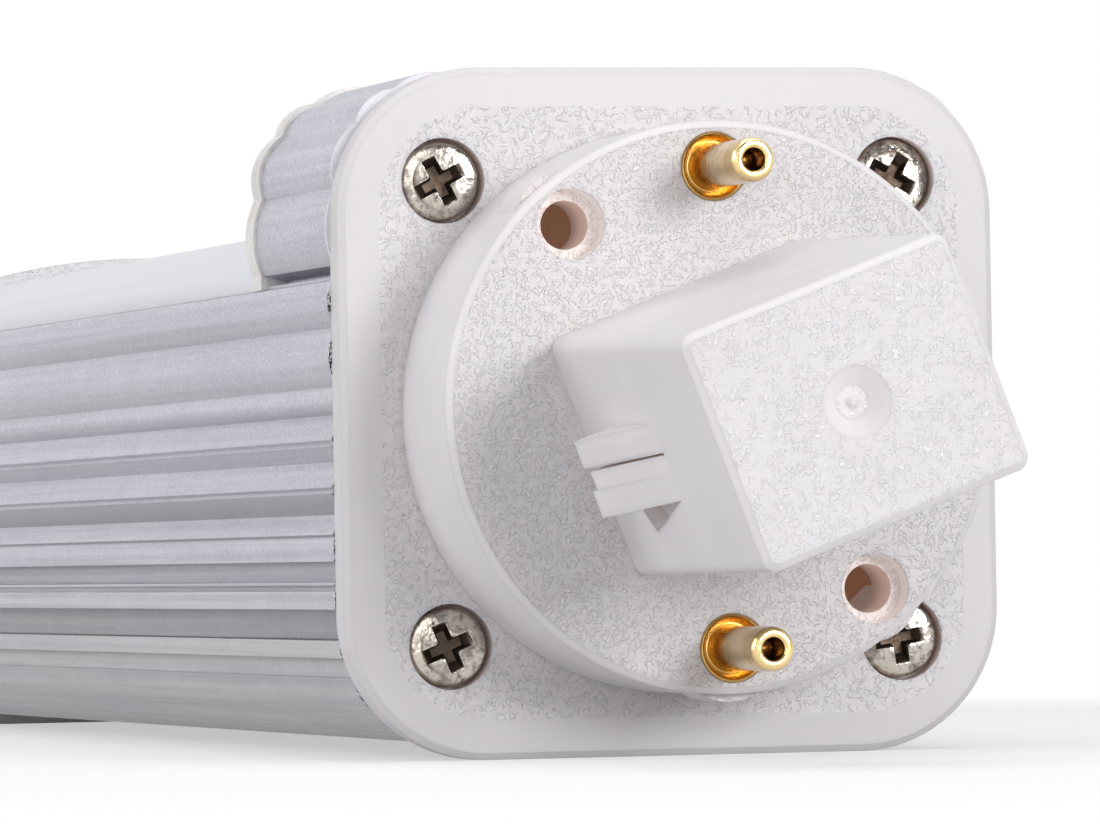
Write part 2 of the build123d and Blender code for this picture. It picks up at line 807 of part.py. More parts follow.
pieces = {
    "base_cap": base_cap,
    "contact_pin_upper": lambda: contact_pin(pin_angle),
    "contact_pin_lower": lambda: contact_pin(pin_angle + 180),
    "base_screws": base_screws,
    "heat_sink": heat_sink,
    "driver_cover": driver_cover,
    "divider": divider,
    "diffuser": diffuser,
    "end_cap": end_cap,
    "end_screws": end_screws,
    "led_board": led_board,
    "insulating_sleeve": insulating_sleeve,
    "driver_board": driver_board,
    "fuse": lambda: lying_can(fuse_size, fuse_place),
    "varistor": lambda: disc_part(varistor_size, varistor_place),
    "film_capacitor": lambda: boxed_part(film_capacitor_size, film_capacitor_place),
    "choke": lambda: upright_can(choke_size, choke_place),
    "bridge_rectifier": lambda: boxed_part(rectifier_size, rectifier_place),
    "input_capacitor": lambda: lying_can(input_capacitor_size, input_capacitor_place),
    "control_chip": lambda: boxed_part(control_chip_size, control_chip_place),
    "transformer_core": transformer_core,
    "transformer_bobbin": transformer_bobbin,
    "safety_capacitor": lambda: disc_part(safety_capacitor_size, safety_capacitor_place),
    "output_diode": lambda: lying_can(output_diode_size, output_diode_place),
    "output_capacitor": lambda: upright_can(output_capacitor_size, output_capacitor_place),
    "mains_lead_upper": lambda: mains_lead(pin_angle, -1),
    "mains_lead_lower": lambda: mains_lead(pin_angle + 180, 1),
    "led_lead_positive": lambda: led_lead(-1),
    "led_lead_negative": lambda: led_lead(1),
}


def main():
    os.makedirs("parts", exist_ok=True)
    lay = Plane.XZ.location
    solids = {name: make() for name, make in pieces.items()}
    for i, (x, station) in enumerate(led_places(), 1):
        solids[f"led_chip_{i:02d}"] = led_chip(x, station)
    for name, shape in solids.items():
        if isinstance(shape, list):
            shape = Compound(children=[lay * s for s in shape])
        else:
            shape = lay * shape
        export_step(shape, f"parts/{name}.step")
        print(name, round(shape.volume, 2))


main()
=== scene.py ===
import math

import bmesh
import bpy
from mathutils import Matrix, Vector


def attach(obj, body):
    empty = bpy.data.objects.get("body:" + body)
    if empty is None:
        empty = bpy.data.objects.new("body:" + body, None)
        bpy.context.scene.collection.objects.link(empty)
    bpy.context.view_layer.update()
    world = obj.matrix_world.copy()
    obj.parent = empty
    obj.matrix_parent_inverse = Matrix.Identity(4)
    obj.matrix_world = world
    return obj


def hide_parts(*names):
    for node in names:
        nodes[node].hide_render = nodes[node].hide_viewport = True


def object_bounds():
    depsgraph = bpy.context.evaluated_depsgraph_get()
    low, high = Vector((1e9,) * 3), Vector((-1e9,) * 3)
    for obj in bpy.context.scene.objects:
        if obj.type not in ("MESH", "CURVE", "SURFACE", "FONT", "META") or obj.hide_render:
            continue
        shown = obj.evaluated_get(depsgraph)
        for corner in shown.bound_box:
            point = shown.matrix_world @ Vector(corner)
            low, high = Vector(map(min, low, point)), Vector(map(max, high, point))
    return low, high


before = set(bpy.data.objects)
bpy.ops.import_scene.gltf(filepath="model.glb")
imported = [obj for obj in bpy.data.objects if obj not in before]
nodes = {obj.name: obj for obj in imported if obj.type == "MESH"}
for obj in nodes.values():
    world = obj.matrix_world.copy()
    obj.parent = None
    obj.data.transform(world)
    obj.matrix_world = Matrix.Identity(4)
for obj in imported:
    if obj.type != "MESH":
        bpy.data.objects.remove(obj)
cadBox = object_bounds()
mm = 0.001
print("frame loaded:", len(nodes), "solids")


# Camera, lamps and floor

view = {
    "place": (-118.238, -382.827, -7.331),
    "right": (0.961562, -0.274035, -0.017415),
    "up": (0.011794, -0.022146, 0.999685),
    "lens": 263.485,
    "sensor": 36.0,
}


def makeCamera():
    data = bpy.data.cameras.new("photoCamera")
    data.lens = view["lens"]
    data.sensor_width = view["sensor"]
    data.clip_start = 0.05
    data.clip_end = 20
    camera = bpy.data.objects.new("photoCamera", data)
    right = Vector(view["right"]).normalized()
    back = right.cross(Vector(view["up"])).normalized()
    turn = Matrix((right, back.cross(right), back)).transposed().to_4x4()
    camera.matrix_world = Matrix.Translation(Vector(view["place"]) * mm) @ turn
    bpy.context.scene.collection.objects.link(camera)
    bpy.context.scene.camera = camera


lamps = {
    # place, aim, width, height, watts, colour; in metres
    "keySoftbox": ((0.33, -0.88, 0.22), (0.0, 0.0, 0.0), 0.30, 0.30, 5.3, (1.0, 0.99, 0.99)),
    "topSoftbox": ((0.02, 0.04, 0.62), (0.0, 0.05, 0.0), 0.60, 0.60, 1.85, (1.0, 0.995, 1.0)),
    "leftSoftbox": ((-0.60, 0.14, 0.12), (0.0, 0.04, 0.0), 0.60, 0.50, 2.2, (0.985, 0.985, 1.0)),
    "frontCard": ((-0.34, -0.86, 0.16), (0.0, 0.0, 0.0), 0.50, 0.50, 1.9, (1.0, 0.99, 0.995)),
}


def makeLamps():
    for name, (place, aim, width, height, watts, colour) in lamps.items():
        data = bpy.data.lights.new(name, "AREA")
        data.shape = "RECTANGLE"
        data.size = width
        data.size_y = height
        data.energy = watts
        data.color = colour
        lamp = bpy.data.objects.new(name, data)
        lamp.location = place
        lamp.rotation_euler = (Vector(aim) - Vector(place)).to_track_quat("-Z", "Y").to_euler()
        bpy.context.scene.collection.objects.link(lamp)


# Shader building

class Flow:  # a node socket that can be used in Python expressions
    def __init__(self, paint, socket):
        self.paint = paint
        self.socket = socket

    def math(self, operation, *others):
        return self.paint.node("ShaderNodeMath", {"operation": operation}, [self, *others])

    def __add__(self, other):
        return self.math("ADD", other)

    def __sub__(self, other):
        return self.math("SUBTRACT", other)

    def __rsub__(self, other):
        return self.paint.node("ShaderNodeMath", {"operation": "SUBTRACT"}, [other, self])

    def __mul__(self, other):
        return self.math("MULTIPLY", other)

    def __truediv__(self, other):
        return self.math("DIVIDE", other)

    def __pow__(self, other):
        return self.math("POWER", other)

    __radd__ = __add__
    __rmul__ = __mul__

    def above(self, low, high):  # 0 under low, 1 over high, smooth between
        return self.paint.node("ShaderNodeMapRange", {"interpolation_type": "SMOOTHSTEP"},
                               [self, low, high, 0.0, 1.0])

    def below(self, low, high):
        return 1.0 - self.above(low, high)

    def between(self, low, high, edge):
        return self.above(low - edge, low) * self.below(high, high + edge)

    def either(self, other):
        return self.math("MAXIMUM", other)

    def repeat(self, pitch):  # place within a repeat, from 0 to 1
        return (self / pitch).math("FRACT")


class Paint:  # one material and the nodes in it
    def __init__(self, name, **constants):
        self.material = bpy.data.materials.new(name)
        self.material.use_nodes = True
        self.tree = self.material.node_tree
        self.shader = self.tree.nodes["Principled BSDF"]
        self.shader.subsurface_method = "BURLEY"  # looks as RANDOM_WALK does here, in less time
        self.softened = {}
        for socketName, value in constants.items():
            self.shader.inputs[socketName.replace("_", " ")].default_value = value
        self.coords = self.node("ShaderNodeTexCoord", output="Object")
        self.x, self.y, self.z = self.parts(self.coords)

    def node(self, kind, settings=None, values=None, output=0):
        made = self.tree.nodes.new(kind)
        for setting, value in (settings or {}).items():
            setattr(made, setting, value)
        pairs = values.items() if isinstance(values, dict) else enumerate(values or [])
        for slot, value in pairs:
            if isinstance(value, Flow):
                self.tree.links.new(value.socket, made.inputs[slot])
            elif value is not None:
                made.inputs[slot].default_value = value
        return Flow(self, made.outputs[output])

    def parts(self, vector):
        made = self.node("ShaderNodeSeparateXYZ", None, [vector]).socket.node
        return [Flow(self, out) for out in made.outputs]

    def joined(self, x, y, z):
        return self.node("ShaderNodeCombineXYZ", None, [x, y, z])

    def facing(self):  # the surface's own direction, along x, y and z
        return self.parts(self.node("ShaderNodeTexCoord", output="Normal"))

    def noise(self, scale, detail=3.0, roughness=0.5, at=None):
        values = {"Vector": at or self.coords, "Scale": scale, "Detail": detail, "Roughness": roughness}
        return self.node("ShaderNodeTexNoise", None, values)

    def cells(self, scale, feature="F1"):
        values = {"Vector": self.coords, "Scale": scale}
        return self.node("ShaderNodeTexVoronoi", {"feature": feature}, values)

    def around(self, x, z):  # distance from an axis that runs along Y
        return ((self.x - x) * (self.x - x) + (self.z - z) * (self.z - z)) ** 0.5

    def rounded(self, radius):  # the normal with softened edges, one node for each radius
        if radius not in self.softened:
            bevel = self.node("ShaderNodeBevel", {"samples": 2}, {"Radius": radius})
            self.softened[radius] = bevel
        return self.softened[radius]

    def edges(self, radius, low=0.004, high=0.06):  # 1 along sharp edges
        true = self.node("ShaderNodeNewGeometry", output="True Normal")
        pair = [self.rounded(radius), true]
        same = self.node("ShaderNodeVectorMath", {"operation": "DOT_PRODUCT"}, pair, "Value")
        return (1.0 - same).above(low, high)

    def mixed(self, factor, first, second):
        made = self.tree.nodes.new("ShaderNodeMix")
        made.data_type = "RGBA"
        for slot, value in ((0, factor), (6, first), (7, second)):
            if isinstance(value, Flow):
                self.tree.links.new(value.socket, made.inputs[slot])
            elif slot == 0:
                made.inputs[slot].default_value = value
            else:
                made.inputs[slot].default_value = (*value, 1.0)
        return Flow(self, made.outputs[2])

    def feed(self, socketName, value):
        self.tree.links.new(value.socket, self.shader.inputs[socketName])

    def relief(self, height, depth, rounding=0.0):  # depth in metres
        values = {"Height": height, "Distance": depth, "Strength": 1.0}
        if rounding:
            values["Normal"] = self.rounded(rounding)
        self.feed("Normal", self.node("ShaderNodeBump", None, values))


def setPaint(paint, *names):
    for name in names:
        mesh = (nodes[name] if name in nodes else bpy.data.objects[name]).data
        mesh.materials.clear()
        mesh.materials.append(paint.material)


# Floor and surroundings

surroundings = {
    "level": 0.21,
    "floorSize": 12.0,
    "paper": (0.50, 0.50, 0.505),
    "paperClouds": 9.0,
    "paperGlow": 0.47,
    "bounce": (0.60, 0.60, 0.60),
    "clearShape": (0.4, 0.6),  # of the oval round the lamp, across and along, in its lengths
    "clearFrom": 1.0,
    "clearAt": 1.55,
    "roomLight": (1.0, 0.99, 0.985),
    "roomShade": (0.16, 0.155, 0.15),
    "roomEdge": (-0.55, 0.05),  # where the darker room gives way to the white backdrop
}


def makeFloor():
    bpy.ops.object.select_all(action="DESELECT")
    bpy.ops.mesh.primitive_plane_add(size=surroundings["floorSize"], location=(0, 0, cadBox[0][2]))
    floor = bpy.context.object
    floor.name = "paleFloor"
    bpy.ops.object.transform_apply(location=True)
    paper = Paint("paleFloorPaper", Roughness=0.9)
    shade = surroundings["paper"]
    cloud = paper.noise(surroundings["paperClouds"], 4.0, 0.5)
    paper.feed("Base Color", paper.mixed(cloud, shade, [c * 1.03 for c in shade]))
    seen = paper.node("ShaderNodeLightPath", output="Is Camera Ray")
    seen = seen.either(paper.node("ShaderNodeLightPath", output="Is Glossy Ray"))
    seen = seen.either(paper.node("ShaderNodeLightPath", output="Is Transmission Ray"))
    own = Flow(paper, paper.shader.outputs[0])
    glow = paper.node("ShaderNodeEmission", None, {"Strength": surroundings["paperGlow"]})
    near = paper.node("ShaderNodeAddShader", None, [own, glow])
    bounce = paper.node("ShaderNodeBsdfDiffuse", None, {"Color": (*surroundings["bounce"], 1.0)})
    white = paper.node("ShaderNodeEmission", None, {"Strength": 1.0})
    length = cadBox[1][1] - cadBox[0][1]
    middle = (cadBox[1][1] + cadBox[0][1]) / 2
    wide, long = surroundings["clearShape"]
    across = paper.x / (length * wide)
    along = (paper.y - middle) / (length * long)
    away = (across * across + along * along) ** 0.5
    away = away.above(surroundings["clearFrom"], surroundings["clearAt"])
    shown = paper.node("ShaderNodeMixShader", None, [away, near, white])
    mixed = paper.node("ShaderNodeMixShader", None, [seen, bounce, shown])
    paper.tree.links.new(mixed.socket, paper.tree.nodes["Material Output"].inputs["Surface"])
    floor.data.materials.append(paper.material)


def makeWorld():
    # white behind the object, a darker room on the photographer's side
    world = bpy.data.worlds.new("studioWorld")
    bpy.context.scene.world = world
    world.use_nodes = True
    tree = world.node_tree
    tree.nodes.clear()
    made = {}
    for key, kind in (("out", "OutputWorld"), ("around", "Background"), ("backdrop", "Background"),
                      ("path", "LightPath"), ("mix", "MixShader"), ("place", "TexCoord"),
                      ("split", "SeparateXYZ"), ("behind", "MapRange"), ("colour", "Mix"),
                      ("seen", "Math"), ("seenToo", "Math")):
        made[key] = tree.nodes.new("ShaderNode" + kind)
    made["around"].inputs["Color"].default_value = (*surroundings["roomLight"], 1.0)
    made["around"].inputs["Strength"].default_value = surroundings["level"]
    made["colour"].data_type = "RGBA"
    made["colour"].inputs[6].default_value = (*surroundings["roomShade"], 1.0)
    made["colour"].inputs[7].default_value = (1.0, 1.0, 1.0, 1.0)
    made["behind"].inputs[1].default_value, made["behind"].inputs[2].default_value = surroundings["roomEdge"]
    for step in ("seen", "seenToo"):
        made[step].operation = "MAXIMUM"
    link = tree.links.new
    link(made["place"].outputs["Generated"], made["split"].inputs[0])
    link(made["split"].outputs["Y"], made["behind"].inputs[0])
    link(made["behind"].outputs[0], made["colour"].inputs[0])
    link(made["colour"].outputs[2], made["backdrop"].inputs["Color"])
    link(made["path"].outputs["Is Camera Ray"], made["seen"].inputs[0])
    link(made["path"].outputs["Is Glossy Ray"], made["seen"].inputs[1])
    link(made["seen"].outputs[0], made["seenToo"].inputs[0])
    link(made["path"].outputs["Is Transmission Ray"], made["seenToo"].inputs[1])
    link(made["seenToo"].outputs[0], made["mix"].inputs[0])
    link(made["around"].outputs[0], made["mix"].inputs[1])
    link(made["backdrop"].outputs[0], made["mix"].inputs[2])
    link(made["mix"].outputs[0], made["out"].inputs["Surface"])


bpy.context.scene.view_settings.view_transform = "Standard"
makeCamera()
makeLamps()
makeFloor()
makeWorld()
print("camera, lamps and floor made")


# Moulded plastic of the plug base and the end cap

moulding = {
    "white": (0.82, 0.797, 0.815),
    "shade": (0.775, 0.752, 0.772),
    "cloudScale": 170.0,
    "ground": (0.70, 0.68, 0.695),  # painted shade between the ridges of the eroded skin
    "groundShare": 0.45,
    # painted highlights on the ridges and sparks of the eroded skin
    "paintedGlint": (1.0, 0.99, 1.0),
    "paintedGlintShare": 0.42,
    "glintRoughness": 0.22,
    # painted shade that darkens the rounded edges, which catch more light than the faces
    "edge": (0.62, 0.602, 0.617),
    "edgeReach": 0.00045,
    "edgeShare": 0.85,
    # painted shade on the smooth rim band of the plate
    "rim": (0.70, 0.68, 0.695),
    "rimFrom": (0.0080, 0.0084),
    "gloss": 0.44,
    "specular": 0.36,
    "curlScale": 3300.0,
    "curlWidth": (0.015, 0.06),
    "patchScale": 2300.0,
    "sparkScale": 7200.0,
    "fineScale": 12000.0,
    "sparkRoughness": 0.10,
    "sparkDepth": 0.00009,  # of the spark-eroded skin on the flat faces
    "sparkFacing": (0.990, 0.9995),  # how squarely a face looks out before it has that skin
    "slopeFacing": (0.70, 0.92),  # the same on the boss and the post
    "slopeTo": (0.0076, 0.0080),
    "bossFrom": (-0.001, -0.0005),
    "bossDepth": 0.9,  # how much deeper the skin is on the boss and the plate
    "skinDepth": 0.000006,
    "rounding": 0.00008,
    "glow": (1.0, 0.6, 0.45),
    "glowShare": 0.3,
    "glowReach": 0.0018,
    "hollow": (0.127, 0.058, 0.032),  # the light in the hollow inside
}
sockets = {
    # x and z of each; all lengths here in mm, and depths behind the boss's face
    "places": ((-7.757, 9.156), (7.757, -9.156), (-0.28, 12.0), (0.28, -12.0)),
    "mouth": (1.78, 1.84),  # the counterbore's radius, with a soft edge
    "from": (0.05, 0.2),
    "mouthTo": (6.0, 6.2),
    "boreFrom": (1.20, 1.35),
    "boreTo": (4.2, 4.3),
    "deepFrom": (2.2, 4.8),
    "insideRadius": (12.70, 12.75),
    "insideFrom": (1.9, 2.0),
    "insideTo": (12.0, 13.0),
    # painted light in the sockets: a warm painted glow in the mouths and bores, and dark brown painted shade
    # deep in the bores and in the boss's hollow
    "skin": (0.85, 0.825, 0.815),
    "skinGlow": (0.105, 0.095, 0.092),
    "bore": (0.62, 0.50, 0.46),
    "boreGlow": (0.155, 0.115, 0.10),
    "end": (0.16, 0.075, 0.045),
}
screwWells = {
    "offsets": (11.95, 11.75),
    "radius": (2.3, 2.35),
    "from": (8.66, 8.78),
    "to": (11.2, 11.3),
    # a painted warm glow and painted shade in the screws' counterbores
    "tone": (0.78, 0.69, 0.66),
}


def nearest(paint, places):
    distance = None
    for x, z in places:
        here = paint.around(x * mm, z * mm)
        distance = here if distance is None else distance.math("MINIMUM", here)
    return distance


def inMm(pair):
    return pair[0] * mm, pair[1] * mm


def socketMasks(paint):  # the counterbored mouths, the bores behind them and the boss's inside
    mouth = nearest(paint, sockets["places"]).below(*inMm(sockets["mouth"]))
    outside = paint.y.below(*inMm(sockets["from"]))
    inMouth = mouth * (1.0 - outside) * paint.y.below(*inMm(sockets["mouthTo"]))
    inBore = inMouth * paint.y.above(*inMm(sockets["boreFrom"]))
    inside = paint.around(0.0, 0.0).below(*inMm(sockets["insideRadius"]))
    inside = inside * paint.y.above(*inMm(sockets["insideFrom"])) * paint.y.below(*inMm(sockets["insideTo"]))
    inside = inside * (1.0 - inBore * paint.y.below(*inMm(sockets["boreTo"])))
    return inMouth, inBore, inside


def wellMask(paint):
    wide, high = screwWells["offsets"]
    places = [(sx * wide, sz * high) for sx in (-1, 1) for sz in (-1, 1)]
    well = nearest(paint, places).below(*inMm(screwWells["radius"]))
    return well * paint.y.above(*inMm(screwWells["from"])) * paint.y.below(*inMm(screwWells["to"]))


def mouldedPaint():
    paint = Paint("mouldedPlastic", Subsurface_Weight=moulding["glowShare"], IOR=1.5,
                  Subsurface_Scale=moulding["glowReach"], Subsurface_Radius=moulding["glow"],
                  Specular_IOR_Level=moulding["specular"], Emission_Strength=1.0)
    spark = paint.noise(moulding["sparkScale"], 2.0, 0.55)
    curl = (paint.noise(moulding["curlScale"], 1.0, 0.4) - 0.5).math("ABSOLUTE")
    patches = paint.noise(moulding["patchScale"], 1.0, 0.5).above(0.40, 0.56)
    worm = curl.below(*moulding["curlWidth"]) * patches
    fine = paint.noise(moulding["fineScale"], 2.0, 0.6)
    cloud = paint.noise(moulding["cloudScale"], 4.0, 0.55)
    facing = paint.facing()[1].math("ABSOLUTE")
    eroded = (facing + (spark - 0.5) * 0.012).above(*moulding["sparkFacing"])
    eroded = eroded.either(facing.above(*moulding["slopeFacing"]) * paint.y.below(*moulding["slopeTo"]))
    speck = (spark * 0.6 + fine * 0.4).above(0.38, 0.62)
    # painted highlights: where the ridges and sparks are drawn lighter
    paintedGlint = worm * 0.75 + (spark * 0.7 + fine * 0.3).above(0.56, 0.62) * 0.3

    body = paint.mixed(cloud.above(0.3, 0.7), moulding["shade"], moulding["white"])
    # painted shade: the ground between the ridges of the eroded skin is darker
    body = paint.mixed((1.0 - worm) * eroded * moulding["groundShare"], body, moulding["ground"])
    body = paint.mixed(paintedGlint * eroded * moulding["paintedGlintShare"], body, moulding["paintedGlint"])
    # painted shade on the smooth rim band of the plate
    rim = paint.y.above(*moulding["rimFrom"]) * (1.0 - eroded)
    body = paint.mixed(rim * 0.9, body, moulding["rim"])
    # painted shade along the rounded edges
    shadedEdge = paint.edges(moulding["edgeReach"], 0.01, 0.12)
    body = paint.mixed(shadedEdge * moulding["edgeShare"], body, moulding["edge"])

    # the sockets get a warm painted glow and dark painted shade; the boss's hollow inside is painted dark
    # with a painted glow
    inMouth, inBore, inside = socketMasks(paint)
    boreTone = paint.mixed(paint.y.above(*inMm(sockets["deepFrom"])), sockets["bore"], sockets["end"])
    body = paint.mixed(inMouth, body, sockets["skin"])
    body = paint.mixed(inBore, body, boreTone)
    # painted warm glow and painted shade in the screws' counterbores
    body = paint.mixed(wellMask(paint), body, screwWells["tone"])
    paint.feed("Base Color", paint.mixed(inside * 0.8, body, sockets["end"]))
    glow = paint.mixed(inMouth, (0.0, 0.0, 0.0), sockets["skinGlow"])
    glow = paint.mixed(inBore, glow, sockets["boreGlow"])
    paint.feed("Emission Color", paint.mixed(inside, glow, moulding["hollow"]))

    rough = speck * eroded * moulding["sparkRoughness"] + cloud * 0.08 + moulding["gloss"]
    paint.feed("Roughness", rough - paintedGlint * eroded * moulding["glintRoughness"])
    depth = (paint.y.above(*moulding["bossFrom"]) * moulding["bossDepth"] + 1.0) * moulding["sparkDepth"]
    skin = (spark * 0.3 + worm * 0.5 + fine * 0.15) * eroded * depth
    smooth = (cloud * 8.0 + fine) * moulding["skinDepth"]
    paint.relief(skin + smooth, 1.0, moulding["rounding"])
    return paint


setPaint(mouldedPaint(), "base_cap", "end_cap")
print("moulded pieces painted")


# Extruded aluminium

extrusion = {
    "metal": (0.58, 0.575, 0.64),
    "dark": (0.37, 0.365, 0.42),
    "low": (0.50, 0.505, 0.505),  # painted shade: darker towards the foot
    # lighter metal, for the grain's sparkle and for painted highlights and glints
    "bright": (0.80, 0.80, 0.85),
    "shadeBelow": 0.72,  # how strongly painted shade darkens the faces that look down
    "metallic": 0.4,
    "grainScale": 5600.0,
    "drawnScale": 2800.0,
    "drawnStretch": 0.006,
    "lineScale": 900.0,
    "grainDepth": 0.000022,
    "edgeReach": 0.00012,
    "sawnEnds": (0.01070, 0.12870),  # where the saw left its ragged edges, painted with shade and glints
    "tornReach": 0.00020,
    # near black: the painted shade of the burr
    "burrAndShade": (0.05, 0.05, 0.055),
}


def extrudedPaint():
    paint = Paint("extrudedAluminium", Metallic=extrusion["metallic"])
    along = paint.joined(paint.x, paint.y * extrusion["drawnStretch"], paint.z)
    drawn = paint.noise(extrusion["drawnScale"], 3.0, 0.65, at=along)
    deepLines = paint.noise(extrusion["lineScale"], 2.0, 0.5, at=along).above(0.60, 0.72)
    grain = paint.noise(extrusion["grainScale"], 3.0, 0.65)
    cloud = paint.noise(210.0, 3.0, 0.5)
    lower = paint.z.below(-0.009, -0.003)
    tone = grain * (0.65 - lower * 0.35) + drawn * (0.35 + lower * 0.35)
    # painted shade: the metal darkens towards the foot
    metal = paint.mixed(paint.z.below(-0.0125, -0.007), extrusion["metal"], extrusion["low"])
    body = paint.mixed(tone.above(0.40, 0.60), extrusion["dark"], metal)
    body = paint.mixed(0.25, body, metal)
    body = paint.mixed(grain.above(0.60, 0.68) * 0.5, body, extrusion["bright"])
    body = paint.mixed(cloud.above(0.35, 0.7) * 0.08, body, extrusion["bright"])
    body = paint.mixed(deepLines * lower * 0.4, body, extrusion["dark"])
    # painted shade on the faces that look down, strongest low on the heat sink
    shadeUnder = paint.facing()[2].below(-0.45, 0.1) * paint.z.above(-0.0140, -0.0130)
    shadeUnder = shadeUnder * (paint.z.below(-0.0060, -0.0020) * 0.65 + 0.35) * extrusion["shadeBelow"]
    body = paint.mixed(shadeUnder, body, [c * 0.35 for c in extrusion["dark"]])
    # painted highlight along the sharp edges
    body = paint.mixed(paint.edges(extrusion["edgeReach"]) * 0.6, body, extrusion["bright"])
    jag = paint.noise(3600.0, 4.0, 0.7)
    reach = jag * extrusion["tornReach"] * 1.6
    near, far = extrusion["sawnEnds"]
    # the burr strip: real relief, painted near black as shade with bright flecks as painted glints; on the
    # cover a painted highlight line
    burrAndShade = (paint.y - near - reach).below(0.0, 0.00003)
    burrAndShade = burrAndShade.either((far - paint.y - reach).below(0.0, 0.00003))
    burrGlints = paint.noise(6800.0, 3.0, 0.7).above(0.47, 0.53).either(paint.z.above(0.0060, 0.0064))
    body = paint.mixed(burrAndShade, body, paint.mixed(burrGlints, extrusion["burrAndShade"], extrusion["bright"]))
    paint.feed("Base Color", body)
    paint.feed("Roughness", tone * 0.2 + 0.33 + burrAndShade * 0.15)
    height = (grain * 0.6 + drawn * 0.8 + jag * burrAndShade * 5.0) * extrusion["grainDepth"]
    paint.relief(height, 1.0, extrusion["edgeReach"])
    return paint


setPaint(extrudedPaint(), "heat_sink", "driver_cover")
print("extrusions painted")


# Frosted diffuser and the divider

window = {
    "clear": (0.83, 0.83, 0.90),
    "frost": (0.77, 0.77, 0.845),
    # yellower towards the bottom edge
    "yellower": (0.90, 0.87, 0.80),
    "yellowerBelow": (0.0064, 0.0076),
    "yellowerShare": 0.25,
    "grainDepth": 0.000012,
}
plate = {
    "cream": (0.90, 0.895, 0.87),
    "shade": (0.71, 0.70, 0.68),
    "rim": (0.84, 0.835, 0.815),
    "grainDepth": 0.00003,
    "front": (0.02544, 0.02548),  # just behind the face that closes the cover
    "coverInside": (0.0150, 0.0154),
    "coverTop": (0.0158, 0.0160),
}


def frostedPaint():
    paint = Paint("frostedDiffuser", Subsurface_Weight=0.45, Subsurface_Scale=0.0025,
                  Subsurface_Radius=(0.9, 0.9, 1.0), Transmission_Weight=0.08, IOR=1.49)
    grain = paint.noise(3400.0, 3.0, 0.6)
    along = paint.joined(paint.x, paint.y * 0.01, paint.z)
    drawn = paint.noise(1500.0, 2.0, 0.5, at=along)
    body = paint.mixed((grain * 0.6 + drawn * 0.4).above(0.35, 0.65), window["frost"], window["clear"])
    # yellower towards the bottom edge
    yellower = paint.z.below(*window["yellowerBelow"]) * window["yellowerShare"]
    body = paint.mixed(yellower, body, window["yellower"])
    paint.feed("Base Color", body)
    paint.feed("Roughness", grain * 0.16 + 0.3)
    paint.relief((grain + drawn) * window["grainDepth"], 1.0, 0.0001)
    return paint


def dividerPaint():
    paint = Paint("dividerPlastic", Subsurface_Weight=0.15, Subsurface_Scale=0.001, Emission_Strength=1.0)
    grain = paint.noise(3800.0, 3.0, 0.6)
    cloud = paint.noise(260.0, 3.0, 0.5)
    body = paint.mixed((grain * 0.5 + cloud * 0.5).above(0.36, 0.64), plate["shade"], plate["cream"])
    # painted glow: inside the cover the divider's face glows with the hollow's warm light
    inner = paint.y.below(*plate["front"]) * paint.z.below(*plate["coverTop"])
    inner = inner * paint.x.math("ABSOLUTE").below(*plate["coverInside"])
    paint.feed("Emission Color", paint.mixed(inner, (0.0, 0.0, 0.0), moulding["hollow"]))
    body = paint.mixed(paint.edges(0.00015) * 0.8, body, plate["rim"])
    paint.feed("Base Color", body)
    paint.feed("Roughness", grain * 0.2 + 0.38)
    paint.relief(grain * plate["grainDepth"], 1.0, 0.00015)
    return paint


setPaint(frostedPaint(), "diffuser")
setPaint(dividerPaint(), "divider")
print("diffuser and divider painted")


# Turned pieces, modelled as on a lathe along Y

def turnedPiece(name, rows, axis=(0.0, 0.0), sides=96):
    # each row is a radius and how far out towards -Y it lies, in mm
    bpy.ops.object.select_all(action="DESELECT")
    x, z = axis[0] * mm, axis[1] * mm
    radius, out = rows[0]
    bpy.ops.mesh.primitive_circle_add(vertices=sides, radius=radius * mm, fill_type="NGON",
                                      location=(x, -out * mm, z), rotation=(math.pi / 2, 0, 0))
    piece = bpy.context.object
    piece.name = name
    piece.data.name = name
    bpy.ops.object.transform_apply()
    bpy.ops.object.mode_set(mode="EDIT")
    bpy.ops.mesh.select_mode(type="FACE")
    bpy.ops.mesh.select_all(action="SELECT")
    for (lastRadius, lastOut), (radius, out) in zip(rows, rows[1:]):
        bpy.ops.mesh.extrude_region_move(TRANSFORM_OT_translate={"value": (0, (lastOut - out) * mm, 0)})
        grow = radius / lastRadius
        bpy.ops.transform.resize(value=(grow, 1, grow), center_override=(x, -out * mm, z))
    bpy.ops.mesh.select_all(action="SELECT")
    bpy.ops.mesh.fill_holes(sides=0)
    bpy.ops.mesh.normals_make_consistent(inside=False)
    bpy.ops.object.mode_set(mode="OBJECT")
    return piece


def smoothed(piece, degrees=32):
    bpy.ops.object.select_all(action="DESELECT")
    piece.select_set(True)
    bpy.context.view_layer.objects.active = piece
    bpy.ops.object.shade_smooth_by_angle(angle=math.radians(degrees))


def pickFaces(piece, test):  # in edit mode, by centre and normal
    bpy.ops.mesh.select_mode(type="FACE")
    bpy.ops.mesh.select_all(action="DESELECT")
    shape = bmesh.from_edit_mesh(piece.data)
    for face in shape.faces:
        if test(face.calc_center_median(), face.normal):
            face.select_set(True)
    bmesh.update_edit_mesh(piece.data)


def pickEdges(piece, test):  # in edit mode, by the two ends
    bpy.ops.mesh.select_mode(type="EDGE")
    bpy.ops.mesh.select_all(action="DESELECT")
    shape = bmesh.from_edit_mesh(piece.data)
    for edge in shape.edges:
        if test(edge.verts[0].co, edge.verts[1].co):
            edge.select_set(True)
    bmesh.update_edit_mesh(piece.data)


